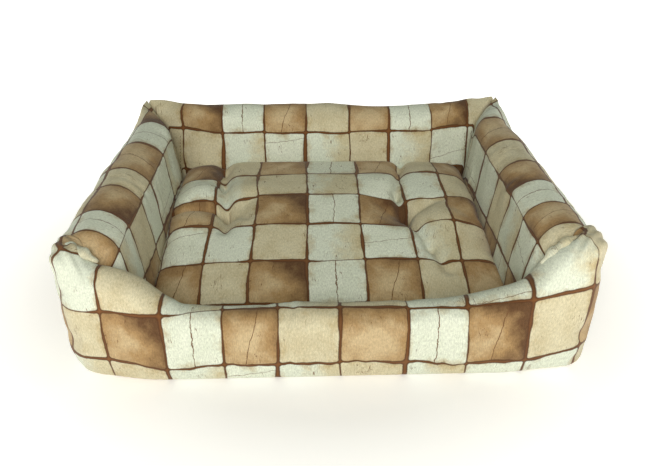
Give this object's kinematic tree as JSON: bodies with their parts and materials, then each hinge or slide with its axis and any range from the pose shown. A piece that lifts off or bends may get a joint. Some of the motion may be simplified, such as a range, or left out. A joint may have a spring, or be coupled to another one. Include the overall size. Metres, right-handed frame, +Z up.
{
  "type": "padded pet bed",
  "caption": "Rectangular soft bed for a dog or cat: padded walls with a low step-in front round a loose, tufted, lift-out cushion.",
  "frame": {"origin": "centre of the footprint, on the ground", "axes": "+X along the width to the right seen from the front, +Y from the low front wall to the back wall, +Z up"},
  "size_m": [0.8, 0.66, 0.242],
  "materials": {
    "printed_cloth": "matte printed cotton",
    "base_cloth": "matte nonwoven",
    "wadding": "matte fibre",
    "foam": "matte open-cell foam",
    "thread": "matte thread",
    "tab_ribbon": "satin ribbon"
  },
  "bodies": {
    "surround": {"underside_panel": "base_cloth", "base_seam_thread": "thread", "base_pad": "wadding", "floor_lining": "printed_cloth", "back_wall_cover": "printed_cloth", "left_wall_cover": "printed_cloth", "right_wall_cover": "printed_cloth", "front_wall_cover": "printed_cloth", "back_wall_wadding": "wadding", "left_wall_wadding": "wadding", "right_wall_wadding": "wadding", "front_wall_wadding": "wadding", "back_wall_foam": "foam", "left_wall_foam": "foam", "right_wall_foam": "foam", "front_wall_foam": "foam", "corner_seam_threads": "thread", "side_tab": "tab_ribbon"},
    "cushion": {"cushion_top_panel": "printed_cloth", "cushion_bottom_panel": "printed_cloth", "cushion_fill": "wadding", "cushion_seam_thread": "thread", "tuft_tie_left": "thread", "tuft_tie_right": "thread"}
  },
  "joints": [
    {"name": "cushion_lift", "type": "slide", "parent": "surround", "child": "cushion", "axis": [0, 0, 1], "range_m": [0, 0.3]}
  ]
}
